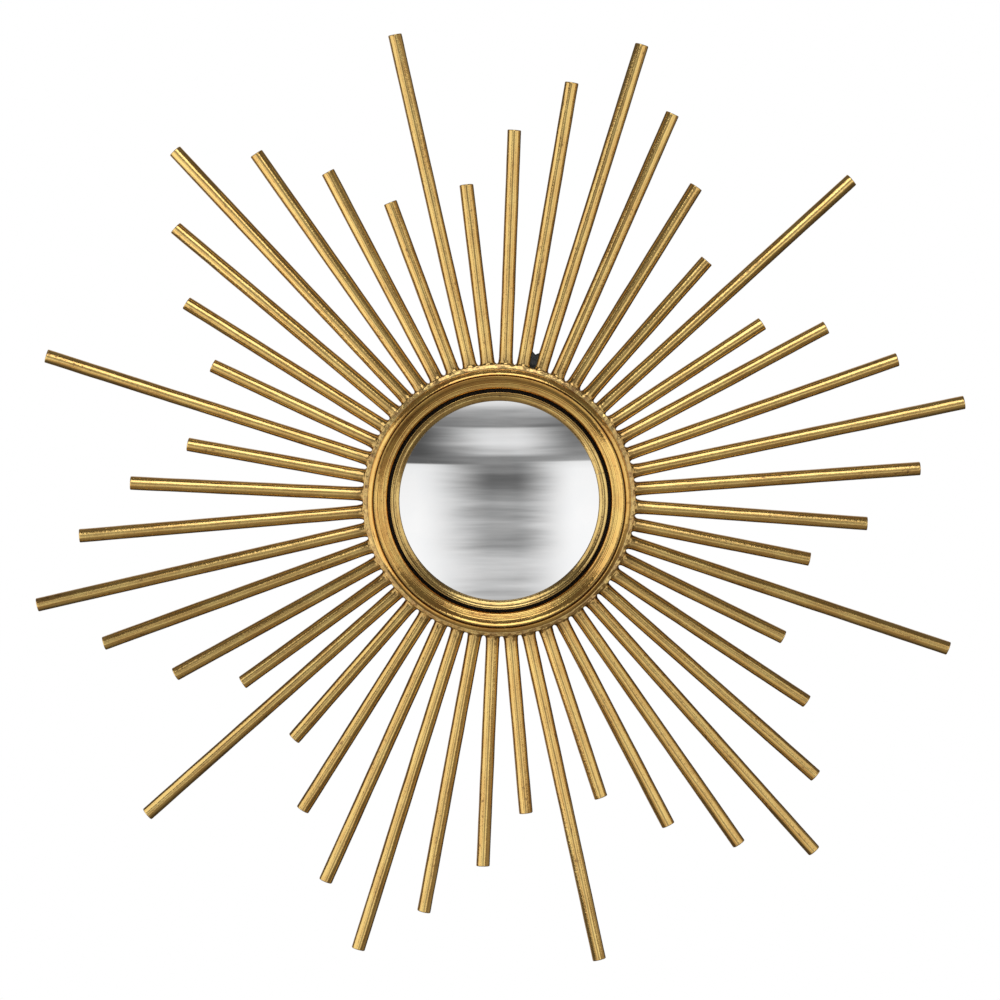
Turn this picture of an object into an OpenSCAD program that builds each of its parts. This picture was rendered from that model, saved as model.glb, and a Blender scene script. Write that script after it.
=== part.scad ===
// Sunburst wall mirror: 48 round bars welded around a hub that holds a small convex mirror.
// Millimetres. The wall is the plane Y = 0, the mirror faces -Y, +Z is up and +X is the viewer's
// right. Every sub-part is drawn lying down, as it would on a bench: its height off the wall runs
// along +Z. on_wall() then stands it up.

/* [Rays] */
// Number of rays, in whole turns of the eight-ray length pattern
ray_count = 48; // [24:8:48]
// Distance from the centre to the tips of the longest rays
tip_radius = 301.2; // [270:0.1:400]
// Diameter of the round bar
ray_d = 8.4; // [6:0.1:8.8]
// Bearing of the first ray, anticlockwise from the viewer's right
first_bearing = 12.3; // [0:0.1:29.9]
// Share of the hand-made irregularity: 0 puts every tip on its even bearing
lean_share = 1; // [0:0.1:1]
// Length of the weld flare at each ray's foot
weld_length = 6; // [3:0.5:10]
// Chamfer on each cut end
tip_chamfer = 0.6; // [0.2:0.1:1.2]

/* [Hub] */
// Outer radius of the ring that the rays are welded to
ray_ring_r = 86.5; // [86:0.1:90]
// Wall of that ring, across the radius
ray_ring_wall = 5; // [4:0.1:5.2]
// Depth of that ring, out from the wall
ray_ring_depth = 11.5; // [11:0.1:14]
// Inner radius of the frame moulding
frame_inner_r = 70.7; // [70:0.1:71]
// Diameter of the bent wire around the frame moulding
frame_bead_d = 3.1; // [2.6:0.1:3.2]

/* [Mirror] */
// Outer radius of the convex glass
glass_r = 67; // [66:0.1:67]
// Thickness of the glass
glass_t = 2.5; // [2:0.1:3]
// How far the glass bulges from its rim to its middle
glass_rise = 8; // [6:0.5:12]
// Radius of the mirror that the bezel leaves in sight
sight_r = 63.5; // [63:0.1:64]

/* [Back] */
// Thickness of the felt that meets the wall
felt_t = 3; // [2.5:0.1:4]
// Thickness of the sheet steel back
back_plate_t = 1.5; // [1:0.1:2]
// Thickness of the board behind the mirror
board_t = 6; // [5:0.5:8]
// Number of screws that hold the back to the frame
screw_count = 6; // [6:6:12]
// Radius of the hole that the mirror hangs by
hanger_hole_r = 4; // [3:0.1:4.5]
// Height of that hole above the mirror's centre
hanger_hole_z = 72; // [70:0.1:72]

/* [Hidden] */
hub_nodes = ["frame_ring", "frame_bead", "bezel_ring", "mirror_glass", "mirror_cushion", "ray_ring",
             "backing_board", "back_plate", "back_screws", "hanger_plate", "hanger_rivets", "wall_felt"];
$fn = 96;

gilt = "#b9923f";
rubbed_gilt = "#a9813a";
black_steel = "#232323";
raw_steel = "#8d8f92";
board_black = "#1b1916";
felt_green = "#2f3a2c";
silvered = "#d9dde0";

// Clearance where one piece drops into another
play = 0.1;
// How far a cut runs past the surface that it opens
overcut = 1;

// Heights off the wall
back_plate_z = felt_t;
board_z = back_plate_z + back_plate_t;
seat_z = board_z + board_t;
ray_ring_front_z = back_plate_z + ray_ring_depth;
weld_flare = 1.25;
ray_z = ray_ring_front_z - weld_flare - ray_d / 2;

// Rays: each of the eight in the pattern stops this many steps short of the longest
steps_short = [0, 1, 2, 3, 0, 3, 2, 1];
tip_step = tip_radius / 9;
pitch = 360 / ray_count;
// The weld flares each foot, but leaves neighbouring feet just clear of each other
foot_r = min(ray_d / 2 + weld_flare, (ray_ring_r - 1) * tan(pitch / 2) - play);

// Hand setting, in degrees: the bearings drift slowly around the ring, a few rays stray further, and
// some more stray half as far
drift = 0.3;
drift_peaks = [145, 60];
stray = 0.8;
strays_on = [3, 8, 12, 27];
strays_back = [4, 6, 29, 30, 38];
half_strays_on = [7, 17, 19, 25, 28, 32, 39, 40];
half_strays_back = [34, 42, 47];

// Ray ring
ray_ring_inner_r = ray_ring_r - ray_ring_wall;
ray_ring_chamfer = 0.8;

// Frame moulding: a lip beside the mirror, a band rising outwards, a round and a ledge for the wire
lip_r = 2.4;
lip_rise = 5.8;
lip_centre = [frame_inner_r + lip_r, seat_z + lip_rise];
round_r = 1.3;
round_place = 77.8;
round_rise = 10;
round_centre = [round_place, seat_z + round_rise];
// The band meets the round a little below its middle
band_drop = 0.6;
// The wire is a loose fit: it hangs on the top of the round, and sits this much low
bead_sag = 0.5;
bead_ledge_z = seat_z + 7.25;
bead_inner_r = round_place + round_r + play + bead_sag;
bead_centre = [bead_inner_r + frame_bead_d / 2, bead_ledge_z + frame_bead_d / 2];
frame_outer_r = bead_inner_r + frame_bead_d + bead_sag;
bead_reach = frame_bead_d * [1, 1];
bead_joint_bearing = 272.6;
joint_gap = 0.25;

// Convex glass: two concentric spheres
glass_steps = 240;
cushion_t = 1.5;
cushion_w = 9;
glass_z = seat_z + cushion_t;
glass_back_sphere_r = (pow(glass_r, 2) + pow(glass_rise, 2)) / (2 * glass_rise);
glass_front_sphere_r = glass_back_sphere_r + glass_t;
glass_sphere_z = glass_z + glass_rise - glass_back_sphere_r;
function glass_front_z(r) = glass_sphere_z + sqrt(pow(glass_front_sphere_r, 2) - pow(r, 2));

// Bezel: a wall around the glass, with two steps that slope down to a lip over the glass's edge
bezel_gap = 0.3;
bezel_bore_r = glass_r + bezel_gap;
bezel_wall = 1.4;
bezel_r = bezel_bore_r + bezel_wall;
bezel_lip_z = glass_front_z(sight_r) + play / 2;
bezel_crest = [bezel_r, bezel_lip_z + 3.4];
bezel_chamfer = 0.25;
// From the crest inwards: the foot of the outer step, the groove, and the top of the inner step
outer_step = [-1.75, -0.95];
bezel_groove = [-2.1, -1.5];
inner_step = [-2.35, -1.1];
inner_step_end = [sight_r + 0.4, bezel_crest[1] - 2.2];
lip_edge_t = 0.6;
bezel_joint_bearing = 15.2;

// Back
back_gap = 0.5;
back_r = ray_ring_inner_r - back_gap;
screw_circle_r = 76.2;
screw_r = 1.5;
screw_length = 13;
screw_head_r = 3;
screw_head_t = 1.4;
screw_head_z = back_plate_z - screw_head_t;
screw_head_bevel = 0.8;
screw_cross = [0.8, 3.6, 0.7];
screw_turn = 20;
hanger_t = 2;
hanger_w = 18;
hanger_span = [53, 75];
hanger_z = back_plate_z - hanger_t;
rivet_r = 1.6;
rivet_head_r = 3.2;
rivet_head_t = 0.8;
rivet_places = [50, 58];
relief_r = 7;
relief_depth = 6;
felt_r = 40;

function ray_name(i) = str("ray_", i < 10 ? "0" : "", i);
function ray_bearing(i) = first_bearing + (i - 1) * pitch;
function ray_tip_r(i) = tip_radius - steps_short[(i - 1) % len(steps_short)] * tip_step;
function count(i, list) = len([for (n = list) if (n == i) n]);
function ray_drift(i) = let (turn = (i - 1) * pitch)
    drift * (cos(turn - drift_peaks[0]) + cos(2 * (turn - drift_peaks[1])));
function ray_stray(i) =
    stray * (count(i, strays_on) - count(i, strays_back))
    + stray / 2 * (count(i, half_strays_on) - count(i, half_strays_back));
function ray_lean(i) = lean_share * (ray_drift(i) + ray_stray(i));

module on_wall() {
    rotate([90, 0, 0]) children();
}

module at_bearing(bearing, radius) {
    rotate([0, 0, bearing]) translate([radius, 0, 0]) children();
}

module disc(r, z, t) {
    translate([0, 0, z]) cylinder(r = r, h = t);
}

// A thin radial slot from one corner [radius, height] to another, where the ends of a bent ring meet
module butt_joint(bearing, low, high) {
    at_bearing(bearing, low[0]) translate([0, -joint_gap / 2, low[1]])
        cube([high[0] - low[0], joint_gap, high[1] - low[1]]);
}

// One bar with its flared foot, along +X from where it leaves the ring
module ray_bar(length) {
    bar_r = ray_d / 2;
    rotate([0, 90, 0]) rotate_extrude() polygon([
        [0, -overcut],
        [foot_r, -overcut],
        [bar_r, weld_length],
        [bar_r, length - tip_chamfer],
        [bar_r - tip_chamfer, length],
        [0, length]
    ]);
}

// A ray runs from its foot, on its even bearing, to its leaning tip, and its foot fits the ring
module ray(i) {
    tip = ray_tip_r(i) * [cos(ray_lean(i)), sin(ray_lean(i))];
    run = tip - [ray_ring_r, 0];
    color(gilt) on_wall() rotate([0, 0, ray_bearing(i)]) difference() {
        translate([ray_ring_r, 0, ray_z])
            rotate([0, 0, atan2(run[1], run[0])]) ray_bar(norm(run));
        disc(ray_ring_r, 0, 2 * ray_z);
    }
}

module ray_ring() {
    color(gilt) on_wall() rotate_extrude() polygon([
        [ray_ring_inner_r, back_plate_z],
        [ray_ring_r, back_plate_z],
        [ray_ring_r, ray_ring_front_z - ray_ring_chamfer],
        [ray_ring_r - ray_ring_chamfer, ray_ring_front_z],
        [ray_ring_inner_r, ray_ring_front_z]
    ]);
}

module frame_profile() {
    spigot_r = ray_ring_inner_r - play;
    polygon([
        [frame_inner_r, seat_z],
        [spigot_r, seat_z],
        [spigot_r, ray_ring_front_z],
        [frame_outer_r, ray_ring_front_z],
        [frame_outer_r, bead_ledge_z],
        [round_place + round_r, bead_ledge_z],
        round_centre + [round_r, 0],
        round_centre - [round_r, band_drop],
        lip_centre + [0, lip_r],
        lip_centre - [lip_r, 0]
    ]);
    translate(lip_centre) circle(r = lip_r);
    translate(round_centre) circle(r = round_r);
}

module frame_ring() {
    color(gilt) on_wall() difference() {
        rotate_extrude() frame_profile();
        screw_shanks();
    }
}

module frame_bead() {
    color(gilt) on_wall() translate([0, -bead_sag, 0]) difference() {
        rotate_extrude() translate(bead_centre) circle(d = frame_bead_d);
        butt_joint(bead_joint_bearing, bead_centre - bead_reach, bead_centre + bead_reach);
    }
}

module bezel_profile() {
    polygon([
        [bezel_bore_r, seat_z],
        [bezel_r, seat_z],
        bezel_crest - [0, bezel_chamfer],
        bezel_crest - [bezel_chamfer, 0],
        bezel_crest + outer_step,
        bezel_crest + bezel_groove,
        bezel_crest + inner_step,
        inner_step_end,
        [sight_r, bezel_lip_z + lip_edge_t],
        [sight_r + bezel_chamfer, bezel_lip_z],
        [bezel_bore_r, bezel_lip_z]
    ]);
}

module bezel_ring() {
    color(rubbed_gilt) on_wall() difference() {
        rotate_extrude() bezel_profile();
        butt_joint(bezel_joint_bearing, [sight_r - overcut, seat_z - overcut],
                   bezel_crest + overcut * [1, 1]);
    }
}

module mirror_glass() {
    color(silvered) on_wall() intersection() {
        difference() {
            translate([0, 0, glass_sphere_z]) sphere(r = glass_front_sphere_r, $fn = glass_steps);
            translate([0, 0, glass_sphere_z]) sphere(r = glass_back_sphere_r, $fn = glass_steps);
        }
        disc(glass_r, glass_z - overcut, glass_rise + glass_t + 2 * overcut);
    }
}

module mirror_cushion() {
    color(board_black) on_wall() difference() {
        disc(glass_r, seat_z, cushion_t);
        disc(glass_r - cushion_w, seat_z - overcut, cushion_t + 2 * overcut);
    }
}

module at_screws() {
    for (n = [0:screw_count - 1])
        at_bearing(n * 360 / screw_count, screw_circle_r) children();
}

module screw_shanks() {
    at_screws() disc(screw_r, back_plate_z, screw_length);
}

module rivet_shanks() {
    for (height = rivet_places)
        translate([0, height, 0]) disc(rivet_r, hanger_z, hanger_t + back_plate_t);
}

// Room for a nail or a screw head behind the hanger's hole
module nail_relief() {
    translate([0, hanger_hole_z, 0])
        disc(relief_r, back_plate_z - overcut, relief_depth + overcut);
}

module backing_board() {
    color(board_black) on_wall() difference() {
        disc(back_r, board_z, board_t);
        screw_shanks();
        nail_relief();
    }
}

module back_plate() {
    color(black_steel) on_wall() difference() {
        disc(back_r, back_plate_z, back_plate_t);
        screw_shanks();
        rivet_shanks();
        nail_relief();
    }
}

module back_screws() {
    color(raw_steel) on_wall() difference() {
        union() {
            screw_shanks();
            at_screws() translate([0, 0, screw_head_z])
                cylinder(r1 = screw_head_r - screw_head_bevel, r2 = screw_head_r, h = screw_head_t);
        }
        at_screws() translate([0, 0, screw_head_z])
            for (turn = [screw_turn, screw_turn + 90])
                rotate([0, 0, turn])
                    cube([screw_cross[0], screw_cross[1], 2 * screw_cross[2]], center = true);
    }
}

module hanger_plate() {
    color(black_steel) on_wall() difference() {
        translate([0, 0, hanger_z]) linear_extrude(hanger_t) {
            translate([-hanger_w / 2, hanger_span[0]]) square([hanger_w, hanger_span[1] - hanger_span[0]]);
            for (end = hanger_span)
                translate([0, end]) circle(d = hanger_w);
        }
        translate([0, hanger_hole_z, 0]) disc(hanger_hole_r, hanger_z - overcut, hanger_t + 2 * overcut);
        rivet_shanks();
    }
}

module hanger_rivets() {
    color(raw_steel) on_wall() {
        rivet_shanks();
        for (height = rivet_places)
            translate([0, height, hanger_z - rivet_head_t])
                cylinder(r1 = rivet_head_r - rivet_head_t, r2 = rivet_head_r, h = rivet_head_t);
    }
}

module wall_felt() {
    color(felt_green) on_wall() disc(felt_r, 0, felt_t);
}

frame_ring();
frame_bead();
bezel_ring();
mirror_glass();
mirror_cushion();
ray_ring();
backing_board();
back_plate();
back_screws();
hanger_plate();
hanger_rivets();
wall_felt();
for (i = [1:ray_count])
    ray(i);
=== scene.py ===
# Sunburst wall mirror: the looks. Metres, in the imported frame: the wall is y = 0, the mirror faces -y,
# +z is up and +x is the viewer's right. A height means a distance off the wall, so y = -height.
import math
import random

import bmesh
import bpy
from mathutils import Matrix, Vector, noise


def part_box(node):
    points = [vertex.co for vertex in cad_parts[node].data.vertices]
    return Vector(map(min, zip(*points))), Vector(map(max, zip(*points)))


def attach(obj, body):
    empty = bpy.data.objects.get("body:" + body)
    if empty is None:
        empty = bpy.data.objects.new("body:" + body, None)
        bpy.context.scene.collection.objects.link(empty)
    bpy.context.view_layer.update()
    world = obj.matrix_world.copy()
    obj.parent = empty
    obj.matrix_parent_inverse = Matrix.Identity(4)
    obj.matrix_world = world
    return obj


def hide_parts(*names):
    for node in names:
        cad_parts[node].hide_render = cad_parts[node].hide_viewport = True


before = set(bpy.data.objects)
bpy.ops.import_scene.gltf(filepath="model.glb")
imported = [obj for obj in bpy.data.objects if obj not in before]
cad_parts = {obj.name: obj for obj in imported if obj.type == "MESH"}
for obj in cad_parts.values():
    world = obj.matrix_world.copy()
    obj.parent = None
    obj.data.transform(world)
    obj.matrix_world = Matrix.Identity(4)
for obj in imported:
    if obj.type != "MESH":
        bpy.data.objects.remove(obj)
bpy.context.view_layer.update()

MM = 0.001
TAU = 2 * math.pi
FORWARD = Vector((0, -1, 0))
BODY = "root"
# Where the bent wire's and the bezel strip's ends meet, anticlockwise from the viewer's right, in degrees
WIRE_JOINT = 272.6
BEZEL_JOINT = 15.2
JOINT_GAP = 0.25 * MM
RAY_NAMES = sorted(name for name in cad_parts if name.startswith("ray_") and name[-1].isdigit())

# Camera: where the picture was taken from
CAMERA_DISTANCE = 2.2
CAMERA_ELEVATION = math.radians(3.2)
CAMERA_AIM = Vector((0.0005, -0.019, 0.0007))
PICTURE_WIDTH = 0.6316
SENSOR_WIDTH = 36.0

# Stage
FLOOR_Z = -0.6
FLOOR_RADIUS = 3.0
FLOOR_CENTRE_Y = -1.8


# ---------------------------------------------------------------- node helpers

def add_node(tree, kind, inputs=None, **settings):
    """A new node, with its settings and its inputs given as values or as sockets to link."""
    node = tree.nodes.new(kind)
    for key, value in settings.items():
        setattr(node, key, value)
    for key, value in (inputs or {}).items():
        if isinstance(value, bpy.types.NodeSocket):
            tree.links.new(value, node.inputs[key])
        else:
            node.inputs[key].default_value = value
    return node


def calc(tree, operation, *values):
    """One arithmetic step on numbers or sockets."""
    return add_node(tree, "ShaderNodeMath", dict(enumerate(values)), operation=operation).outputs[0]


def fade(tree, value, low, high, at_low=0.0, at_high=1.0):
    """A smooth step from at_low to at_high as value goes from low to high."""
    inputs = {"Value": value, "From Min": low, "From Max": high, "To Min": at_low, "To Max": at_high}
    return add_node(tree, "ShaderNodeMapRange", inputs, interpolation_type="SMOOTHSTEP").outputs[0]


def mix_colour(tree, factor, first, second, mode="MIX"):
    inputs = {0: factor, 6: first, 7: second}
    return add_node(tree, "ShaderNodeMix", inputs, data_type="RGBA", blend_type=mode).outputs[2]


def ramp(tree, value, stops):
    """A colour ramp of (position, grey) stops."""
    node = add_node(tree, "ShaderNodeValToRGB", {"Fac": value})
    elements = node.color_ramp.elements
    while len(elements) < len(stops):
        elements.new(1.0)
    for element, (position, grey) in zip(elements, stops):
        element.position = position
        element.color = (grey, grey, grey, 1)
    return node.outputs[0]


def rgb(red, green, blue):
    return (red, green, blue, 1)


# ---------------------------------------------------------------- materials

# Dark brown for the dirt and the painted shade in corners and hollows
DIRT_AND_SHADE_COLOUR = rgb(0.040, 0.024, 0.012)
# The stretch over which the welding's soot fades out, as distances from the hub's axis
SOOT_START = 87 * MM
SOOT_END = 98 * MM
# Where streaks() measures its sizes around the hub
STREAK_RIM = 0.08


def new_material(name):
    material = bpy.data.materials.new(name)
    material.use_nodes = True
    tree = material.node_tree
    return material, tree, tree.nodes["Principled BSDF"]


def surface_position(tree):
    return add_node(tree, "ShaderNodeTexCoord").outputs["Object"]


def surface_facing(tree):
    """The y part of the piece's own surface direction: -1 on its front, 0 on its sides, 1 on its back."""
    normal = add_node(tree, "ShaderNodeTexCoord").outputs["Normal"]
    return add_node(tree, "ShaderNodeSeparateXYZ", {0: normal}).outputs[1]


def grain(tree, size, detail=3.0, roughness=0.55):
    """Even noise whose features are about size metres across."""
    inputs = {"Vector": surface_position(tree), "Scale": 1 / size, "Detail": detail, "Roughness": roughness}
    return add_node(tree, "ShaderNodeTexNoise", inputs).outputs[0]


def from_axis(tree, x, z):
    """Distance from the hub's axis."""
    return calc(tree, "SQRT", calc(tree, "ADD", calc(tree, "MULTIPLY", x, x), calc(tree, "MULTIPLY", z, z)))


def streaks(tree, turn_size, radius_size, depth_size):
    """Noise in cylinder coordinates about the hub's axis. The sizes are metres, at the hub's rim."""
    x, y, z = add_node(tree, "ShaderNodeSeparateXYZ", {0: surface_position(tree)}).outputs
    radius = from_axis(tree, x, z)
    turn_scale = STREAK_RIM / turn_size
    across = calc(tree, "MULTIPLY", calc(tree, "DIVIDE", x, radius), turn_scale)
    up = calc(tree, "MULTIPLY", calc(tree, "DIVIDE", z, radius), turn_scale)
    out = calc(tree, "DIVIDE", radius, radius_size)
    place = add_node(tree, "ShaderNodeCombineXYZ", {0: across, 1: up, 2: out}).outputs[0]
    inputs = {"Vector": place, "W": calc(tree, "DIVIDE", y, depth_size), "Scale": 1.0, "Detail": 2.0}
    return add_node(tree, "ShaderNodeTexNoise", inputs, noise_dimensions="4D").outputs[0]


def bump(tree, height, distance, strength=1.0):
    inputs = {"Height": height, "Distance": distance, "Strength": strength}
    return add_node(tree, "ShaderNodeBump", inputs).outputs[0]


def gilt(name, leaf, rubbed, ground, streak_sizes, polish, side_wear_and_shade, corner_dirt_and_shade=0.88, soot=0.0):
    """Antique gold leaf, rubbed through to a brown ground, with dirt and painted shade in the corners and the
    sides darkened by wear and painted shade. The strengths of the sides' and the corners' darkening run from
    0 to 1.
    soot is how much of the leaf the welding has dulled, just outside the ray ring."""
    material, tree, shader = new_material(name)
    cloud = grain(tree, 16 * MM)
    mottle = grain(tree, 2.6 * MM, detail=3.0, roughness=0.6)
    speck = grain(tree, 0.9 * MM, detail=2.0, roughness=0.6)
    streak = streaks(tree, *streak_sizes)

    tone = calc(tree, "ADD", calc(tree, "MULTIPLY", cloud, 0.4), calc(tree, "MULTIPLY", streak, 0.6))
    colour = mix_colour(tree, fade(tree, tone, 0.38, 0.62), rubbed, leaf)
    wear = calc(tree, "ADD", calc(tree, "MULTIPLY", mottle, 0.5), calc(tree, "MULTIPLY", streak, 0.5))
    worn = fade(tree, wear, 0.43, 0.34)
    colour = mix_colour(tree, calc(tree, "MULTIPLY", worn, 0.7), colour, ground)
    pitted = fade(tree, calc(tree, "MULTIPLY_ADD", worn, -0.06, speck), 0.33, 0.27)
    colour = mix_colour(tree, calc(tree, "MULTIPLY", pitted, 0.7), colour, ground)
    # Dirt and painted shade: the colour darkens where ambient occlusion finds a corner or a hollow
    hollow = add_node(tree, "ShaderNodeAmbientOcclusion", {"Distance": 2.8 * MM}, samples=6).outputs["AO"]
    dirt_and_shade = fade(tree, hollow, 0.72, 0.25)
    colour = mix_colour(tree, calc(tree, "MULTIPLY", dirt_and_shade, corner_dirt_and_shade), colour, DIRT_AND_SHADE_COLOUR)
    # Wear and painted shade: the sides, turned away from the front, are darkened towards the ground colour
    front = calc(tree, "MULTIPLY", surface_facing(tree), -1.0)
    shaded = fade(tree, front, 0.70, 0.30)
    colour = mix_colour(tree, calc(tree, "MULTIPLY", shaded, side_wear_and_shade), colour, ground)
    if soot:
        x, _, z = add_node(tree, "ShaderNodeSeparateXYZ", {0: surface_position(tree)}).outputs
        dulled = fade(tree, from_axis(tree, x, z), SOOT_START, SOOT_END, soot, 0.0)
        colour = mix_colour(tree, dulled, colour, ground)
    tree.links.new(colour, shader.inputs["Base Color"])

    dull = calc(tree, "MULTIPLY", worn, 0.18)
    rough = calc(tree, "ADD", dull, calc(tree, "MULTIPLY_ADD", cloud, 0.10, polish))
    tree.links.new(rough, shader.inputs["Roughness"])
    shader.inputs["Metallic"].default_value = 0.95
    shader.inputs["Coat Weight"].default_value = 0.35
    shader.inputs["Coat Roughness"].default_value = 0.1
    relief = calc(tree, "ADD", mottle, calc(tree, "MULTIPLY", speck, 0.25))
    tree.links.new(bump(tree, relief, 0.09 * MM), shader.inputs["Normal"])
    return material


def silvered_glass():
    material, tree, shader = new_material("silvered glass")
    haze = grain(tree, 14 * MM)
    tree.links.new(fade(tree, haze, 0.3, 0.8, 0.012, 0.035), shader.inputs["Roughness"])
    tint = mix_colour(tree, fade(tree, haze, 0.3, 0.7), rgb(0.93, 0.935, 0.94), rgb(0.95, 0.95, 0.95))
    tree.links.new(tint, shader.inputs["Base Color"])
    shader.inputs["Metallic"].default_value = 1.0
    return material


def black_steel():
    material, tree, shader = new_material("black steel")
    cloud = grain(tree, 18 * MM)
    peel = grain(tree, 0.9 * MM)
    scratch = add_node(tree, "ShaderNodeTexWave", {
        "Vector": surface_position(tree), "Scale": 90.0, "Distortion": 18.0, "Detail": 3.0,
    }, wave_type="BANDS", bands_direction="DIAGONAL").outputs[1]
    scuffed = calc(tree, "MULTIPLY", fade(tree, scratch, 0.985, 1.0), fade(tree, cloud, 0.5, 0.65))
    tone = fade(tree, cloud, 0.35, 0.65)
    colour = mix_colour(tree, tone, rgb(0.016, 0.016, 0.017), rgb(0.021, 0.021, 0.022))
    colour = mix_colour(tree, calc(tree, "MULTIPLY", scuffed, 0.5), colour, rgb(0.14, 0.14, 0.14))
    tree.links.new(colour, shader.inputs["Base Color"])
    tree.links.new(fade(tree, cloud, 0.3, 0.7, 0.42, 0.58), shader.inputs["Roughness"])
    tree.links.new(bump(tree, peel, 0.06 * MM), shader.inputs["Normal"])
    return material


def zinc_steel():
    material, tree, shader = new_material("zinc steel")
    cloud = grain(tree, 1.8 * MM)
    scratch = grain(tree, 0.25 * MM)
    colour = mix_colour(tree, fade(tree, cloud, 0.35, 0.7), rgb(0.42, 0.42, 0.40), rgb(0.66, 0.66, 0.63))
    tree.links.new(colour, shader.inputs["Base Color"])
    tree.links.new(fade(tree, cloud, 0.3, 0.7, 0.45, 0.28), shader.inputs["Roughness"])
    shader.inputs["Metallic"].default_value = 1.0
    tree.links.new(bump(tree, scratch, 0.03 * MM), shader.inputs["Normal"])
    return material


def painted_board():
    material, tree, shader = new_material("painted board")
    fibre = grain(tree, 1.2 * MM, detail=5.0)
    tone = fade(tree, fibre, 0.35, 0.7)
    colour = mix_colour(tree, tone, rgb(0.018, 0.012, 0.008), rgb(0.052, 0.038, 0.027))
    tree.links.new(colour, shader.inputs["Base Color"])
    tree.links.new(fade(tree, fibre, 0.3, 0.7, 0.65, 0.85), shader.inputs["Roughness"])
    tree.links.new(bump(tree, fibre, 0.15 * MM), shader.inputs["Normal"])
    return material


def foam():
    material, tree, shader = new_material("foam")
    cells_per_metre = 1500.0
    inputs = {"Vector": surface_position(tree), "Scale": cells_per_metre}
    cells = add_node(tree, "ShaderNodeTexVoronoi", inputs).outputs[0]
    colour = mix_colour(tree, cells, rgb(0.008, 0.008, 0.008), rgb(0.03, 0.03, 0.03))
    tree.links.new(colour, shader.inputs["Base Color"])
    shader.inputs["Roughness"].default_value = 0.9
    tree.links.new(bump(tree, cells, 0.2 * MM), shader.inputs["Normal"])
    return material


def wool_felt():
    material, tree, shader = new_material("wool felt")
    cloud = grain(tree, 6 * MM)
    fuzz = grain(tree, 0.6 * MM, detail=6.0, roughness=0.75)
    mixed = calc(tree, "ADD", calc(tree, "MULTIPLY", cloud, 0.35), calc(tree, "MULTIPLY", fuzz, 0.65))
    tone = fade(tree, mixed, 0.36, 0.64)
    colour = mix_colour(tree, tone, rgb(0.006, 0.011, 0.006), rgb(0.026, 0.038, 0.023))
    tree.links.new(colour, shader.inputs["Base Color"])
    shader.inputs["Roughness"].default_value = 0.95
    shader.inputs["Sheen Weight"].default_value = 0.35
    shader.inputs["Sheen Roughness"].default_value = 0.5
    tree.links.new(bump(tree, fuzz, 0.5 * MM), shader.inputs["Normal"])
    return material


def bare_weld():
    material, tree, shader = new_material("bare weld")
    cloud = grain(tree, 2.5 * MM)
    scale = grain(tree, 0.7 * MM, detail=5.0)
    tone = fade(tree, cloud, 0.35, 0.65)
    colour = mix_colour(tree, tone, rgb(0.012, 0.013, 0.014), rgb(0.050, 0.052, 0.052))
    tree.links.new(colour, shader.inputs["Base Color"])
    tree.links.new(fade(tree, scale, 0.3, 0.7, 0.4, 0.7), shader.inputs["Roughness"])
    shader.inputs["Metallic"].default_value = 0.6
    tree.links.new(bump(tree, scale, 0.25 * MM), shader.inputs["Normal"])
    return material


def pale_floor():
    material, tree, shader = new_material("pale floor")
    cloud = grain(tree, 0.4)
    colour = mix_colour(tree, cloud, rgb(0.90, 0.90, 0.89), rgb(0.94, 0.94, 0.93))
    tree.links.new(colour, shader.inputs["Base Color"])
    shader.inputs["Roughness"].default_value = 0.8
    shader.inputs["Emission Color"].default_value = rgb(1.0, 1.0, 0.99)
    shader.inputs["Emission Strength"].default_value = 0.5
    return material


GILT_RAYS = gilt("gilt rays", rgb(0.97, 0.69, 0.24), rgb(0.84, 0.53, 0.17), rgb(0.20, 0.10, 0.04),
                 streak_sizes=(0.5 * MM, 30 * MM, 1.2 * MM), polish=0.09, side_wear_and_shade=0.68, soot=0.38)
GILT_RING = gilt("gilt ring", rgb(0.85, 0.60, 0.22), rgb(0.60, 0.37, 0.14), rgb(0.22, 0.11, 0.05),
                 streak_sizes=(3 * MM, 3 * MM, 3 * MM), polish=0.16, side_wear_and_shade=0.5)
GILT_FRAME = gilt("gilt frame", rgb(1.00, 0.69, 0.21), rgb(0.86, 0.47, 0.13), rgb(0.20, 0.08, 0.03),
                  streak_sizes=(16 * MM, 0.5 * MM, 0.5 * MM), polish=0.08, side_wear_and_shade=0.2, corner_dirt_and_shade=0.6)
GILT_BEZEL = gilt("gilt bezel", rgb(0.90, 0.66, 0.24), rgb(0.66, 0.43, 0.15), rgb(0.16, 0.085, 0.045),
                  streak_sizes=(18 * MM, 0.6 * MM, 0.6 * MM), polish=0.10, side_wear_and_shade=0.2)


# ---------------------------------------------------------------- mesh helpers

def finish_piece(name, verts, faces, material, replaced, sharp=35):
    """A closed mesh as a piece that rides on the frame and stands for some CAD nodes.
    Edges that turn by more than sharp degrees stay hard."""
    mesh = bpy.data.meshes.new(name)
    mesh.from_pydata(verts, [], faces)
    shape = bmesh.new()
    shape.from_mesh(mesh)
    bmesh.ops.recalc_face_normals(shape, faces=shape.faces)
    shape.to_mesh(mesh)
    shape.free()
    mesh.materials.append(material)
    mesh.polygons.foreach_set("use_smooth", [True] * len(mesh.polygons))
    mesh.set_sharp_from_angle(angle=math.radians(sharp))
    piece = bpy.data.objects.new(name, mesh)
    bpy.context.scene.collection.objects.link(piece)
    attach(piece, BODY)
    if replaced:
        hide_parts(*replaced)
    return piece


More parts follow.
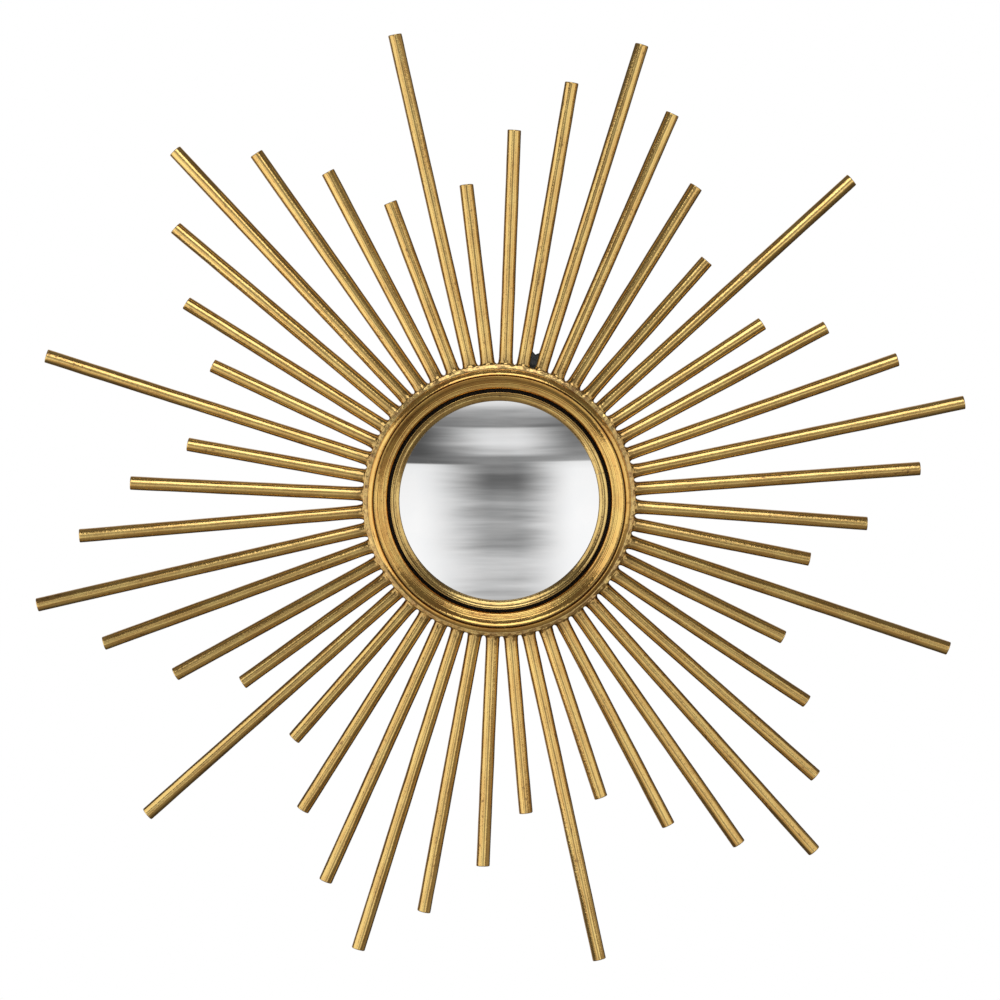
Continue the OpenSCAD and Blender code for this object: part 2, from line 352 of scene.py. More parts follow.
def arc(centre, radius, start, end, steps):
    """Points on an arc in the (radius, height) plane. Angles are in degrees, both ends included."""
    points = []
    for step in range(steps + 1):
        angle = math.radians(start + (end - start) * step / steps)
        points.append((centre[0] + radius * math.cos(angle), centre[1] + radius * math.sin(angle)))
    return points


def on_hub(radius, height, angle):
    """The point at that distance from the hub's axis, height off the wall and angle."""
    return Vector((radius * math.cos(angle), -height, radius * math.sin(angle)))


def revolve(profile, steps, shape=None, joint=None):
    """Verts and faces of a closed (radius, height) profile turned about the hub's axis.
    shape(radius, height, angle) may move each point. joint is (bearing, gap) where a bent ring's ends meet.
    Points at radius 0 become single poles."""
    if joint:
        bearing, gap = math.radians(joint[0]), joint[1]
        half = gap / 2 / max(radius for radius, _ in profile)
        angles = [bearing + half + (TAU - 2 * half) * step / steps for step in range(steps + 1)]
    else:
        angles = [TAU * step / steps for step in range(steps)]
    verts, rows = [], []
    poles = {}
    for angle in angles:
        row = []
        for index, (radius, height) in enumerate(profile):
            if index in poles:
                row.append(poles[index])
                continue
            if radius == 0:
                poles[index] = len(verts)
            if shape:
                radius, height = shape(radius, height, angle)
            row.append(len(verts))
            verts.append(on_hub(radius, height, angle))
        rows.append(row)
    faces = []
    following = rows[1:] if joint else rows[1:] + rows[:1]
    for here, there in zip(rows, following):
        for index in range(len(profile)):
            after = (index + 1) % len(profile)
            corners = list(dict.fromkeys((here[index], here[after], there[after], there[index])))
            if len(corners) > 2:
                faces.append(corners)
    if joint:
        faces.append(rows[0])
        faces.append(rows[-1])
    return verts, faces


def between(start, end, share):
    """The point at that share of the way from start to end in the (radius, height) plane."""
    return (start[0] + (end[0] - start[0]) * share, start[1] + (end[1] - start[1]) * share)


def cove(start, end, sag, steps=8):
    """Points from start to end along a shallow hollow, or along a swelling where sag is negative."""
    points = []
    for step in range(steps + 1):
        share = step / steps
        radius, height = between(start, end, share)
        points.append((radius, height - sag * math.sin(math.pi * share)))
    return points


def lumps(point, size, seed=0.0):
    """Smooth noise from -1 to 1 whose features are about size metres across."""
    return noise.noise(Vector(point) / size + Vector((seed, seed * 0.37, -seed)))


# ---------------------------------------------------------------- rays

RING_LOW, RING_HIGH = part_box("ray_ring")
RING_R = (RING_HIGH.x - RING_LOW.x) / 2
RING_BACK, RING_FRONT = -RING_HIGH.y, -RING_LOW.y
RING_WALL = 5 * MM

RAY_TURNS = 40
WELD_STEP = 0.45 * MM
WELD_REACH = 10 * MM
# How far from the ring the weld's lumps fade, and how high and wide they are
WELD_FADE = 4.5 * MM
WELD_LUMP = 0.30 * MM
WELD_LUMP_SIZE = 2.6 * MM
BAR_STEP = 3.2 * MM
BAR_WOBBLE = 0.12 * MM
# How deep each foot sinks into the ray ring, how far its taper reaches, and how far its fillet spreads
FOOT_SINK = 0.8 * MM
TAPER_REACH = 2.6 * MM
FILLET_SPREAD = 0.9 * MM
# The cut end: its worn edge, the stretch that its saw cut tilts, and its stations back from the end
TIP_EDGE = 0.6 * MM
TIP_REACH = 2 * MM
TIP_GAPS = (2.0, 1.3, 0.8, 0.55, 0.35, 0.18, 0.06)


def hub_radius(point):
    return math.hypot(point.x, point.z)


def ray_axis(name):
    """(foot, unit direction, length, bar radius) of a CAD ray, from its own mesh. The tip is the middle of
    its outermost points. The waist is the middle of those where the weld's cone meets the bar."""
    tip_depth, weld_depth, bar_end = 1.2 * MM, 5 * MM, 3 * MM
    points = [vert.co.copy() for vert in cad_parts[name].data.vertices]
    reach = max(hub_radius(point) for point in points)
    tip_points = [point for point in points if hub_radius(point) > reach - tip_depth]
    tip = sum(tip_points, Vector()) / len(tip_points)
    outward = Vector((tip.x, 0, tip.z)).normalized()
    waist_start = min(point.dot(outward) for point in points) + weld_depth
    waist_end = tip.dot(outward) - bar_end
    waist_points = [point for point in points if waist_start < point.dot(outward) < waist_end]
    waist = sum(waist_points, Vector()) / len(waist_points)
    along = (tip - waist).normalized()
    length = max((point - waist).dot(along) for point in points)
    bar_radius = max(((point - waist) - along * (point - waist).dot(along)).length for point in waist_points)
    inside = RING_R - FOOT_SINK
    back = waist.dot(along) - math.sqrt(waist.dot(along) ** 2 - hub_radius(waist) ** 2 + inside ** 2)
    foot = waist - along * back
    return foot, along, length + back, bar_radius


def foot_flare(place, angle, flare, fillet):
    """How much wider a ray's foot is there: a long taper, and a small fillet onto the ring. It is widest on
    the foot's sides."""
    front_share = 0.3
    from_ring = max(place - FOOT_SINK, 0)
    widening = flare * math.exp(-from_ring / TAPER_REACH)
    if from_ring < fillet:
        depth = 1 - from_ring / fillet
        widening += FILLET_SPREAD * (1 - math.sqrt(1 - depth ** 2))
    return widening * (front_share + (1 - front_share) * abs(math.sin(angle)) ** 1.5)


def ray_stations(length):
    """Distances along a ray: close together on the weld and at the cut tip."""
    plain = length - WELD_REACH - TIP_REACH
    bar_steps = round(plain / BAR_STEP)
    places = [WELD_STEP * step for step in range(round(WELD_REACH / WELD_STEP))]
    places += [WELD_REACH + plain * step / bar_steps for step in range(bar_steps)]
    places += [length - gap * MM for gap in TIP_GAPS]
    return places


def tip_rounding(gap):
    """How much the cut end's worn edge takes off the radius, at that distance from the end."""
    if gap >= TIP_EDGE:
        return 0
    return TIP_EDGE - math.sqrt(TIP_EDGE ** 2 - (TIP_EDGE - gap) ** 2)


def bar_wobble(place, angle, seed):
    """Long, low noise from -1 to 1 on a bar's surface, without a seam around it."""
    girth, stretch, size = 4, 5 * MM, 3.6
    spot = Vector((girth * math.cos(angle), girth * math.sin(angle), place / stretch)) / size
    return noise.noise(spot + Vector((seed, 0, 0)))


def tube_faces(rings):
    """The faces of a tube made of rings of RAY_TURNS points, with the first ring closed."""
    faces = []
    for ring in range(rings - 1):
        for turn in range(RAY_TURNS):
            after = (turn + 1) % RAY_TURNS
            low, high = ring * RAY_TURNS, (ring + 1) * RAY_TURNS
            faces.append((low + turn, low + after, high + after, high + turn))
    faces.append(tuple(range(RAY_TURNS)))
    return faces


def close_cut_end(verts, faces, along):
    """Closes the tube's last ring with the slightly hollow face of a saw cut."""
    inner_share, inner_dip, middle_dip = 0.55, 0.05, 0.12
    last, inner = len(verts) - RAY_TURNS, len(verts)
    rim = verts[last:]
    middle = sum(rim, Vector()) / RAY_TURNS
    verts += [middle + (point - middle) * inner_share - along * inner_dip * MM for point in rim]
    verts.append(middle - along * middle_dip * MM)
    for turn in range(RAY_TURNS):
        after = (turn + 1) % RAY_TURNS
        faces.append((last + turn, last + after, inner + after, inner + turn))
        faces.append((inner + turn, inner + after, len(verts) - 1))


def make_ray(name, index):
    """A round bar with a flared and lumpy foot, and a cut end that is a little out of square."""
    foot, along, length, bar_radius = ray_axis(name)
    side = along.cross(FORWARD)
    pick = random.Random(index)
    seed = 7.3 * index
    flare = pick.uniform(0.15, 0.75) * MM
    fillet = pick.uniform(1.0, 1.9) * MM
    cut_tilt = math.tan(math.radians(pick.uniform(0.5, 3.5)))
    cut_turn = pick.uniform(0, TAU)
    verts = []
    for place in ray_stations(length):
        near_weld = math.exp(-(place / WELD_FADE) ** 2)
        near_tip = max(0, 1 - (length - place) / TIP_REACH)
        for turn in range(RAY_TURNS):
            angle = TAU * turn / RAY_TURNS
            outward = FORWARD * math.cos(angle) + side * math.sin(angle)
            centre = foot + along * place
            radius = bar_radius + foot_flare(place, angle, flare, fillet)
            spot = centre + outward * bar_radius
            radius += WELD_LUMP * near_weld * lumps(spot, WELD_LUMP_SIZE, seed)
            radius += BAR_WOBBLE * bar_wobble(place, angle, seed) * (1 - near_weld) * (1 - near_tip)
            radius -= tip_rounding(length - place) * (1 + 0.5 * lumps(spot, 1.5 * MM, seed))
            drop = near_tip * cut_tilt * radius * (1 + math.cos(angle - cut_turn))
            verts.append(centre + outward * radius - along * drop)
    faces = tube_faces(len(verts) // RAY_TURNS)
    close_cut_end(verts, faces, along)
    return finish_piece("gilt_" + name, verts, faces, GILT_RAYS, [name])


for ray_index, ray_name in enumerate(RAY_NAMES):
    make_ray(ray_name, ray_index)


# ---------------------------------------------------------------- hub

HUB_STEPS = 480


def make_welded_ring():
    """The ring that the rays are welded to. Its front slopes outwards, and is lumpy from the welding."""
    inner = RING_R - RING_WALL
    front = RING_FRONT - 0.1 * MM
    corner, edge, slope_width = 0.4 * MM, 0.9 * MM, 2.4 * MM
    edge_centre = (RING_R - edge, RING_FRONT - 1.6 * edge)
    slope_end = (RING_R - slope_width, front)
    steps = 6
    profile = [(inner, RING_BACK), (RING_R - corner, RING_BACK), (RING_R, RING_BACK + corner)]
    profile += [(RING_R, RING_BACK + (edge_centre[1] - RING_BACK) * step / steps) for step in range(1, steps)]
    profile += arc(edge_centre, edge, 0, 72, steps)
    slope_start = profile[-1]
    profile += [between(slope_start, slope_end, step / steps) for step in range(1, steps + 1)]
    profile += [(inner + 1.2 * MM, front), (inner, front)]

    def shape(radius, height, angle):
        """Raises and lowers the front and the outside in large and small lumps, most at the welds."""
        if radius < inner + MM or height < RING_BACK + MM:
            return radius, height
        spot = on_hub(radius, height, angle)
        share = min(1, (radius - inner) / RING_WALL) ** 2
        lump = 0.50 * lumps(spot, 3.2 * MM) + 0.20 * lumps(spot, 1.3 * MM, 3.0)
        lift = share * MM * lump
        return radius + lift * 0.5, height + lift

    verts, faces = revolve(profile, 2 * HUB_STEPS, shape)
    return finish_piece("welded_ring", verts, faces, GILT_RING, ["ray_ring"])


def make_turned_frame():
    """The frame moulding: a lip beside the mirror, a tooled band, a round, and a ledge for the wire."""
    low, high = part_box("frame_ring")
    outer = high.x
    seat, crest = -high.y, -low.y
    inner, lip_r, lip_drop = 70.7 * MM, 2.4 * MM, 5.5 * MM
    lip_centre = (inner + lip_r, crest - lip_drop)
    ledge_rise, ledge_width, clearance = 7.25 * MM, 4.2 * MM, 0.1 * MM
    ledge = seat + ledge_rise
    spigot = RING_R - RING_WALL - clearance
    groove = outer - ledge_width
    flank_width, flank_steps = 2.4, 12
    band_sag, band_steps = 0.35 * MM, 26
    ridge, ridges = 0.07 * MM, 4

    profile = [(inner, seat), (spigot, seat), (spigot, RING_FRONT), (outer, RING_FRONT)]
    profile += [(outer, RING_FRONT + MM), (outer - MM, ledge - 0.1 * MM), (outer - 1.2 * MM, ledge)]
    profile += [(groove, ledge), (groove, crest - 0.4 * MM), (groove - 0.15 * MM, crest - 0.03 * MM)]
    # The round falls away faster and faster towards the band
    for step in range(flank_steps + 1):
        across = flank_width * step / flank_steps
        profile.append((groove - (0.3 + across) * MM, crest - (0.25 * across + 0.15 * across ** 2) * MM))
    band_start = profile[-1]
    lip = arc(lip_centre, lip_r, 108, 180, 12)
    for step in range(1, band_steps):
        share = step / band_steps
        radius, height = between(band_start, lip[0], share)
        sag = band_sag * math.sin(math.pi * share)
        tooling = ridge * math.sin(TAU * ridges * share) * math.sin(math.pi * share) ** 0.5
        profile.append((radius, height - sag + tooling))
    profile += lip
    profile += [(inner, seat + (lip_centre[1] - seat) * step / 4) for step in (3, 2, 1)]

    def shape(radius, height, angle):
        """Moves the part in sight a little, as hand work does."""
        if height < ledge - MM and radius > inner + MM:
            return radius, height
        spot = on_hub(radius, height, angle)
        slow = 0.05 * MM * lumps(spot, 14 * MM)
        fine = 0.035 * MM * lumps(spot, 2.2 * MM, 5.0)
        return radius + slow, height + slow + fine

    verts, faces = revolve(profile, HUB_STEPS, shape)
    return finish_piece("turned_frame", verts, faces, GILT_FRAME, ["frame_ring"])


def make_frame_wire():
    """The bent wire around the moulding: its outer shoulder is rubbed flat, and its ends are butted."""
    low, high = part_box("frame_bead")
    wire_r = (high.y - low.y) / 2
    centre = (high.x - wire_r, -high.y + wire_r)
    sag = Vector((0, 0, (low.z + high.z) / 2))
    bearing = math.radians(WIRE_JOINT)
    pinch, pinch_reach = 0.10, 0.5 * MM

    def shape(radius, height, angle):
        """Thins the wire unevenly along its length, and pinches it at its joint."""
        spot = on_hub(centre[0], centre[1], angle)
        girth = 1 + 0.025 * lumps(spot, 9 * MM) + 0.012 * lumps(on_hub(radius, height, angle), 2 * MM, 9.0)
        from_joint = abs(math.remainder(angle - bearing, TAU)) * centre[0]
        girth -= pinch * math.exp(-(from_joint / pinch_reach) ** 2)
        girth = min(girth, 1.0)
        return centre[0] + (radius - centre[0]) * girth, centre[1] + (height - centre[1]) * girth

    def rubbed(radius, height):
        """Lowers a point to the rubbed shoulder, a curve that drops outwards from near the crest.
        Everything in it is a share of the wire's radius."""
        shoulder_start, shoulder_top, slope, bend = 0.45, 0.89, 0.30, 0.19
        beyond = (radius - centre[0]) / wire_r + shoulder_start
        shoulder = shoulder_top - slope * beyond - bend * beyond ** 2
        return radius, min(height, centre[1] + wire_r * shoulder) if beyond > 0 else height

    profile = [rubbed(*point) for point in arc(centre, wire_r, 0, 350, 35)]
    verts, faces = revolve(profile, HUB_STEPS, shape, joint=(WIRE_JOINT, JOINT_GAP))
    verts = [vert + sag for vert in verts]
    return finish_piece("frame_wire", verts, faces, GILT_FRAME, ["frame_bead"])


def make_bezel():
    """The bezel: a wall around the glass, and two steps that slope down to a lip over the glass's edge."""
    low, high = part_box("bezel_ring")
    outer, seat, crest = high.x, -high.y, -low.y
    bore = outer - 1.4 * MM
    lip_low = crest - 3.4 * MM
    inside = outer - 5.2 * MM
    edge = 0.28 * MM
    profile = [(bore, seat), (outer, seat), (outer, seat + 2 * MM), (outer, crest - 2 * MM)]
    profile += arc((outer - edge, crest - edge), edge, 0, 120, 6)
    profile += cove((outer - 0.45 * MM, crest - 0.16 * MM), (outer - 1.75 * MM, crest - 0.95 * MM), 0.12 * MM)
    profile += [(outer - 1.9 * MM, crest - 1.45 * MM), (outer - 2.1 * MM, crest - 1.5 * MM)]
    profile += cove((outer - 2.35 * MM, crest - 1.1 * MM), (inside + 0.5 * MM, crest - 2.1 * MM), -0.15 * MM)
    profile += arc((inside + 0.6 * MM, crest - 2.75 * MM), 0.6 * MM, 110, 235, 8)
    profile += [(inside + 0.6 * MM, lip_low), (bore, lip_low)]

    def shape(radius, height, angle):
        """Leaves the seat and the outer wall as they are, and makes the steps slightly uneven."""
        spot = on_hub(radius, height, angle)
        slow = 0.035 * MM * lumps(spot, 11 * MM, 2.0)
        fine = 0.02 * MM * lumps(spot, 1.8 * MM, 4.0)
        if height < seat + MM or radius > outer - 0.01 * MM:
            return radius, height
        return radius, height + slow * (height - lip_low) / (crest - lip_low) + fine

    verts, faces = revolve(profile, HUB_STEPS, shape, joint=(BEZEL_JOINT, JOINT_GAP))
    return finish_piece("bezel_strip", verts, faces, GILT_BEZEL, ["bezel_ring"])


def make_mirror():
    """The convex glass: two concentric spheres, with a ground edge."""
    low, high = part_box("mirror_glass")
    radius = high.x
    thickness, edge, rings = 2.5 * MM, 0.4 * MM, 96
    seat, crest = -high.y, -low.y
    rise = crest - seat - thickness
    back_sphere = (radius ** 2 + rise ** 2) / (2 * rise)
    front_sphere = back_sphere + thickness
    middle = crest - front_sphere
    front = [(r, middle + math.sqrt(front_sphere ** 2 - r ** 2))
             for r in ((radius - edge) * step / rings for step in range(rings + 1))]
    back = [(r, middle + math.sqrt(back_sphere ** 2 - r ** 2))
            for r in ((radius - edge) * step / rings for step in range(rings, -1, -1))]
    rim = [(radius, front[-1][1] - edge), (radius, back[0][1] + edge)]
    profile = front + rim + back
    verts, faces = revolve(profile, 240)
    return finish_piece("convex_mirror", verts, faces, silvered_glass(), ["mirror_glass"])


make_welded_ring()
make_turned_frame()
make_frame_wire()
make_bezel()
make_mirror()


# ---------------------------------------------------------------- weld left bare between two rays

WEB_NEIGHBOURS = ("ray_09", "ray_10")
WEB_REACH = 13.5 * MM


def make_bare_web():
    """A web of black weld metal in the foot of one gap, with a notched outer edge."""
    first, second = (ray_axis(name) for name in WEB_NEIGHBOURS)
    start_r = RING_R - 0.6 * MM
    rows, columns = 16, 14
    half_depth, forward_shift = 2.6 * MM, 0.4 * MM
    notch_depth, outer_thinning, middle_thinning = 0.28, 0.55, 0.35
    rim_start, rim_depth = 0.18, 0.15

    def edge_point(axis, radius):
        foot, along = axis[0], axis[1]
        return foot + along * (radius - start_r)

    verts = []
    for layer in (1, -1):
        for row in range(rows + 1):
            for column in range(columns + 1):
                across = column / columns
                outwards = row / rows
                notch = 1 - notch_depth * (1 - abs(2 * across - 1)) ** 1.2
                radius = start_r + WEB_REACH * notch * outwards
                left, right = edge_point(first, radius), edge_point(second, radius)
                spot = left.lerp(right, across)
                thin = 1 - outer_thinning * outwards ** 2
                thin *= 1 - middle_thinning * math.sin(math.pi * across)
                near_rim = max(0.0, outwards * (1 + rim_start) - rim_start)
                rim = math.sqrt(max(0.0, 1 - near_rim ** 4))
                depth = half_depth * thin * (rim_depth + (1 - rim_depth) * rim)
                depth += 0.35 * MM * lumps(spot, 2.2 * MM, 1.0 + layer)
                verts.append(spot + FORWARD * (depth * layer + forward_shift))
    count = (rows + 1) * (columns + 1)

    def vert(layer, row, column):
        return layer * count + row * (columns + 1) + column

    faces = []
    for row in range(rows):
        for column in range(columns):
            for layer in (0, 1):
                faces.append((vert(layer, row, column), vert(layer, row, column + 1),
                              vert(layer, row + 1, column + 1), vert(layer, row + 1, column)))
    border = [(0, column) for column in range(columns)] + [(row, columns) for row in range(rows)]
    border += [(rows, column) for column in range(columns, 0, -1)] + [(row, 0) for row in range(rows, 0, -1)]
    for here, there in zip(border, border[1:] + border[:1]):
        faces.append((vert(0, *here), vert(0, *there), vert(1, *there), vert(1, *here)))
    return finish_piece("bare_weld_web", verts, faces, bare_weld(), [], sharp=60)


make_bare_web()


# ---------------------------------------------------------------- back

SCREW_COUNT = 6
# A screw's cross recess: its depth, the half-width of its arms, and their reach as a share of the head
CROSS_DEPTH = 0.6 * MM
CROSS_HALF_WIDTH = 0.5 * MM
CROSS_REACH = 0.62


def make_felt():
    """The felt pad, with a frayed edge and an uneven nap on the side that meets the wall."""
    low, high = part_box("wall_felt")
    radius, thickness = high.x, -low.y
    edge, rings, fray_start = 1.1 * MM, 14, 0.85
    profile = [(0, 0)] + [(radius * step / rings, 0) for step in range(1, rings - 1)]
    profile += [(radius - edge, 0.05 * MM)] + arc((radius - edge, edge), edge, -60, 0, 4)
    profile += [(radius, thickness), (0, thickness)]

    def shape(r, height, angle):
        """Leaves the glued side as it is, frays the edge and lifts the nap off the wall."""
        if height > thickness - 0.01 * MM or r == 0:
            return r, height
        spot = on_hub(r, height, angle)
        near_edge = max(0, (r - fray_start * radius) / ((1 - fray_start) * radius))
        fray = 0.35 * MM * near_edge * abs(lumps(spot, 3 * MM))
        return r - fray, height + 0.25 * MM * abs(lumps(spot, 7 * MM))

    verts, faces = revolve(profile, 180, shape)
    return finish_piece("felt_pad", verts, faces, wool_felt(), ["wall_felt"])


def button(centre, radius, bottom, top, recess, turn):
    """Verts and faces of a domed head whose crown faces the wall, with a cross recess if recess is not 0."""
    rings, spokes = 14, 48
    verts, faces = [], []
    for ring in range(1, rings + 1):
        share = ring / rings
        reach = radius * share
        for spoke in range(spokes):
            angle = TAU * spoke / spokes
            x, z = reach * math.cos(angle), reach * math.sin(angle)
            height = bottom + (top - bottom) * (1 - math.sqrt(max(0, 1 - share ** 2.6)))
            local = angle - turn
            from_arm = min(abs(reach * math.sin(local)), abs(reach * math.cos(local)))
            if recess and from_arm < CROSS_HALF_WIDTH and reach < CROSS_REACH * radius:
                height = bottom + recess
            verts.append(Vector((centre[0] + x, -height, centre[1] + z)))
    hub = len(verts)
    verts.append(Vector((centre[0], -(bottom + recess), centre[1])))
    base = len(verts)
    verts.append(Vector((centre[0], -top, centre[1])))
    for spoke in range(spokes):
        after = (spoke + 1) % spokes
        faces.append((hub, spoke, after))
        for ring in range(rings - 1):
            low, high = ring * spokes, (ring + 1) * spokes
            faces.append((low + spoke, high + spoke, high + after, low + after))
        last = (rings - 1) * spokes
        faces.append((base, last + after, last + spoke))
    return verts, faces


def join(parts):
    """Verts and faces of several separate meshes as one."""
    verts, faces = [], []
    for part_verts, part_faces in parts:
        offset = len(verts)
        verts += part_verts
        faces += [tuple(offset + corner for corner in face) for face in part_faces]
    return verts, faces


def make_screws(material):
    """The heads of the screws through the back plate, each turned its own way."""
    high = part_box("back_screws")[1]
    head_r, head_t = 3 * MM, 1.4 * MM
    circle = high.x - head_r
    bottom = -high.y
    heads = []
    for place in range(SCREW_COUNT):
        angle = TAU * place / SCREW_COUNT
        centre = (circle * math.cos(angle), circle * math.sin(angle))
        turn = random.Random(place).uniform(0, math.pi / 2)
        heads.append(button(centre, head_r, bottom, bottom + head_t, CROSS_DEPTH, turn))
    verts, faces = join(heads)
    return finish_piece("cross_screws", verts, faces, material, ["back_screws"])


def make_rivets(material):
    """The heads of the two rivets that hold the hanger."""
    low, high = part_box("hanger_rivets")
    head_r, head_t = 3.2 * MM, 0.8 * MM
    bottom = -high.y
    heads = [button((0, height), head_r, bottom, bottom + head_t, 0, 0)
             for height in (low.z + head_r, high.z - head_r)]
    verts, faces = join(heads)
    return finish_piece("domed_rivets", verts, faces, material, ["hanger_rivets"])


def dress(node, material):
    """Gives a CAD node that keeps its own shape a better material."""
    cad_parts[node].material_slots[0].material = material


ZINC = zinc_steel()
make_felt()
make_screws(ZINC)
make_rivets(ZINC)
BLACK_STEEL = black_steel()
dress("back_plate", BLACK_STEEL)
dress("hanger_plate", BLACK_STEEL)
dress("backing_board", painted_board())
dress("mirror_cushion", foam())


# ---------------------------------------------------------------- stage, light and camera

def make_floor():
    """A pale round floor that neither lights the object nor shows in its gloss."""
    spokes = 96
    verts = [Vector((0, FLOOR_CENTRE_Y, FLOOR_Z))]
    for spoke in range(spokes):
        angle = TAU * spoke / spokes
        rim = (FLOOR_RADIUS * math.cos(angle), FLOOR_CENTRE_Y + FLOOR_RADIUS * math.sin(angle), FLOOR_Z)
        verts.append(Vector(rim))
    faces = [(0, 1 + spoke, 1 + (spoke + 1) % spokes) for spoke in range(spokes)]
    mesh = bpy.data.meshes.new("floor")
    mesh.from_pydata(verts, [], faces)
    mesh.materials.append(pale_floor())
    floor = bpy.data.objects.new("floor", mesh)
    bpy.context.scene.collection.objects.link(floor)
    floor.visible_glossy = False
    floor.visible_diffuse = False


# The studio as the mirror shows it, from the bottom of the glass (0) to its top (1), as greys on three
# upright lines. They follow what the real mirror shows, simplified.
STUDIO_MIDDLE = ((0.00, 0.46), (0.10, 0.56), (0.20, 0.60), (0.26, 0.40), (0.29, 0.30), (0.38, 0.40),
                 (0.44, 0.33), (0.50, 0.36), (0.54, 0.24), (0.58, 0.16), (0.62, 0.12), (0.66, 0.24),
                 (0.69, 0.24), (0.725, 0.25), (0.745, 0.55), (0.80, 0.78), (0.868, 0.70), (0.878, 0.24),
                 (0.92, 0.32), (0.96, 0.45), (1.00, 0.80))
STUDIO_LEFT = ((0.00, 0.95), (0.10, 1.00), (0.40, 0.98), (0.66, 0.90), (0.684, 0.85), (0.69, 0.12),
               (0.75, 0.085), (0.85, 0.08), (0.872, 0.17), (0.92, 0.20), (0.96, 0.50), (1.00, 0.90))
STUDIO_RIGHT = ((0.00, 0.85), (0.10, 0.98), (0.40, 1.00), (0.66, 0.95), (0.699, 0.85), (0.705, 0.36),
                (0.74, 0.26), (0.85, 0.16), (0.872, 0.14), (0.92, 0.20), (0.96, 0.45), (1.00, 0.85))
# Half-width of what the mirror reflects, as a component of direction, and how far below level it looks
MIRROR_SPREAD = 0.457
MIRROR_DIP = 0.056
# The cone around the view's axis that shows the studio, in degrees: the room takes over between the two
STUDIO_INSIDE = 30
STUDIO_OUTSIDE = 33

# Soft glows of the room: bearing from the viewer's right, angle from the view's axis, inner and outer
# angle, strength
ROOM_GREY = 0.07
ROOM_GLOWS = (
    (270, 45, 10, 50, 0.14),
    (0, 40, 5, 30, 0.15),
    (0, 88, 10, 45, 0.20),
    (225, 40, 5, 30, 0.30),
    (90, 150, 5, 35, 0.60),
    (200, 140, 5, 30, 0.40),
)
ROOM_TINT = rgb(1.12, 0.96, 0.78)
# Softboxes: centre, width, height, radiance
SOFTBOXES = {
    "left_box": ((-0.95, -0.40, 0.00), 1.15, 1.25, 0.90),
    "top_box": ((-0.03, -0.96, 0.81), 0.80, 0.62, 1.60),
    "right_box": ((0.86, -0.64, 0.15), 0.75, 0.80, 0.55),
}
# Lamps that only fill the shade: centre, width, height, radiance
FILL_LAMPS = {
    "back_left_lamp": ((-1.2, 1.6, 1.0), 1.2, 1.2, 8.0),
    "back_right_lamp": ((1.4, 1.5, 0.6), 1.2, 1.2, 6.0),
    "top_lamp": ((0.0, -0.4, 2.0), 1.5, 1.5, 8.0),
}


def lobe(tree, direction, bearing, away, inner, outer, strength):
    """A soft round light. bearing is anticlockwise from the viewer's right, away is from the view's axis."""
    bearing, away = math.radians(bearing), math.radians(away)
    axis = (math.sin(away) * math.cos(bearing), -math.cos(away), math.sin(away) * math.sin(bearing))
    inputs = {0: direction, 1: axis}
    nearness = add_node(tree, "ShaderNodeVectorMath", inputs, operation="DOT_PRODUCT").outputs["Value"]
    return fade(tree, nearness, math.cos(math.radians(outer)), math.cos(math.radians(inner)), 0.0, strength)


def studio(tree, across, up):
    """The room straight in front of the mirror, from a direction's parts across and up."""
    turn = calc(tree, "DIVIDE", across, MIRROR_SPREAD)
    level = calc(tree, "DIVIDE", calc(tree, "ADD", up, MIRROR_DIP), MIRROR_SPREAD)
    place = calc(tree, "MULTIPLY_ADD", level, 0.5, 0.5)
    middle = ramp(tree, place, STUDIO_MIDDLE)
    left = ramp(tree, place, STUDIO_LEFT)
    right = ramp(tree, place, STUDIO_RIGHT)
    view = mix_colour(tree, fade(tree, turn, -0.05, -0.85), middle, left)
    view = mix_colour(tree, fade(tree, turn, 0.15, 0.80), view, right)
    fine_level = calc(tree, "MULTIPLY", level, 16.0)
    stripe_place = add_node(tree, "ShaderNodeCombineXYZ", {0: turn, 1: fine_level}).outputs[0]
    inputs = {"Vector": stripe_place, "Scale": 1.0, "Detail": 3.0}
    stripes = add_node(tree, "ShaderNodeTexNoise", inputs).outputs[0]
    contrast = calc(tree, "MULTIPLY", fade(tree, view, 0.9, 0.4), 1.1)
    gain = calc(tree, "MULTIPLY_ADD", calc(tree, "SUBTRACT", stripes, 0.5), contrast, 1.0)
    return mix_colour(tree, 1.0, view, gain, mode="MULTIPLY")


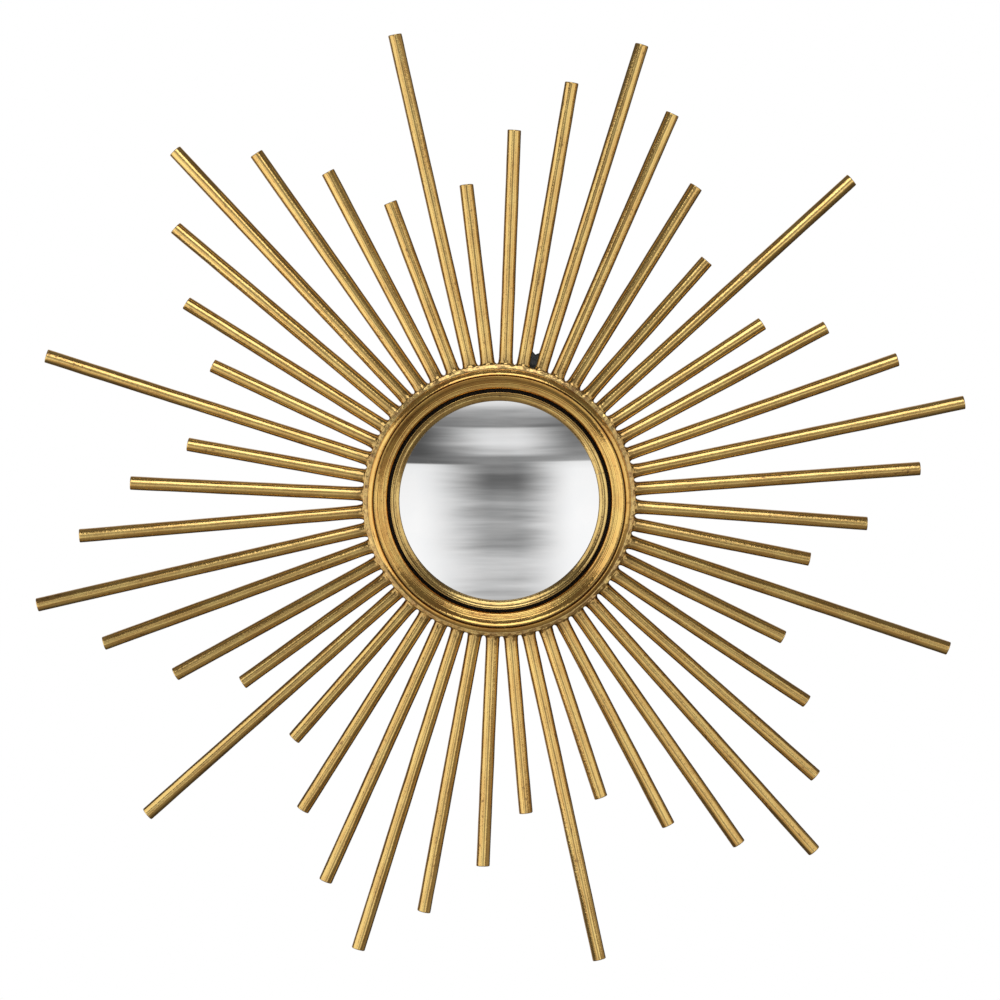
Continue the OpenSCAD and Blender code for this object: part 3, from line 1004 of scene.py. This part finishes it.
def make_world():
    """White behind the object for the camera. Its gloss sees the room, and the mirror the studio."""
    world = bpy.data.worlds.new("studio")
    bpy.context.scene.world = world
    world.use_nodes = True
    tree = world.node_tree
    tree.nodes.clear()
    direction = add_node(tree, "ShaderNodeTexCoord").outputs["Generated"]
    x, y, z = add_node(tree, "ShaderNodeSeparateXYZ", {0: direction}).outputs
    front = calc(tree, "MULTIPLY", y, -1.0)

    total = ROOM_GREY
    for glow in ROOM_GLOWS:
        total = calc(tree, "ADD", total, lobe(tree, direction, *glow))
    outside, inside = math.cos(math.radians(STUDIO_OUTSIDE)), math.cos(math.radians(STUDIO_INSIDE))
    in_mirror = fade(tree, front, outside, inside)
    warm = mix_colour(tree, 1.0, total, ROOM_TINT, mode="MULTIPLY")
    room = mix_colour(tree, in_mirror, warm, studio(tree, x, z))

    seen = add_node(tree, "ShaderNodeLightPath").outputs["Is Camera Ray"]
    colour = mix_colour(tree, seen, room, rgb(1, 1, 1))
    background = add_node(tree, "ShaderNodeBackground", {"Color": colour, "Strength": 1.0})
    output = add_node(tree, "ShaderNodeOutputWorld")
    tree.links.new(background.outputs[0], output.inputs["Surface"])


def make_lamp(name, place, width, height, radiance, in_reflections):
    """A rectangular lamp that looks at the hub."""
    light = bpy.data.lights.new(name, "AREA")
    light.shape = "RECTANGLE"
    light.size = width
    light.size_y = height
    light.energy = radiance * math.pi * width * height
    lamp = bpy.data.objects.new(name, light)
    lamp.location = place
    lamp.rotation_mode = "QUATERNION"
    lamp.rotation_quaternion = (-Vector(place)).to_track_quat("-Z", "Y")
    lamp.visible_glossy = in_reflections
    lamp.visible_camera = False
    bpy.context.scene.collection.objects.link(lamp)


def make_camera():
    """A long lens, slightly above level, that looks at CAMERA_AIM."""
    data = bpy.data.cameras.new("camera")
    data.sensor_width = SENSOR_WIDTH
    data.lens = SENSOR_WIDTH * CAMERA_DISTANCE / PICTURE_WIDTH
    camera = bpy.data.objects.new("camera", data)
    back = Vector((0, -math.cos(CAMERA_ELEVATION), math.sin(CAMERA_ELEVATION)))
    camera.location = CAMERA_AIM + back * CAMERA_DISTANCE
    camera.rotation_mode = "QUATERNION"
    camera.rotation_quaternion = (-back).to_track_quat("-Z", "Y")
    bpy.context.scene.collection.objects.link(camera)
    bpy.context.scene.camera = camera


make_floor()
make_world()
for lamp_name, lamp in SOFTBOXES.items():
    make_lamp(lamp_name, *lamp, in_reflections=True)
for lamp_name, lamp in FILL_LAMPS.items():
    make_lamp(lamp_name, *lamp, in_reflections=False)
make_camera()
bpy.context.scene.view_settings.view_transform = "Standard"
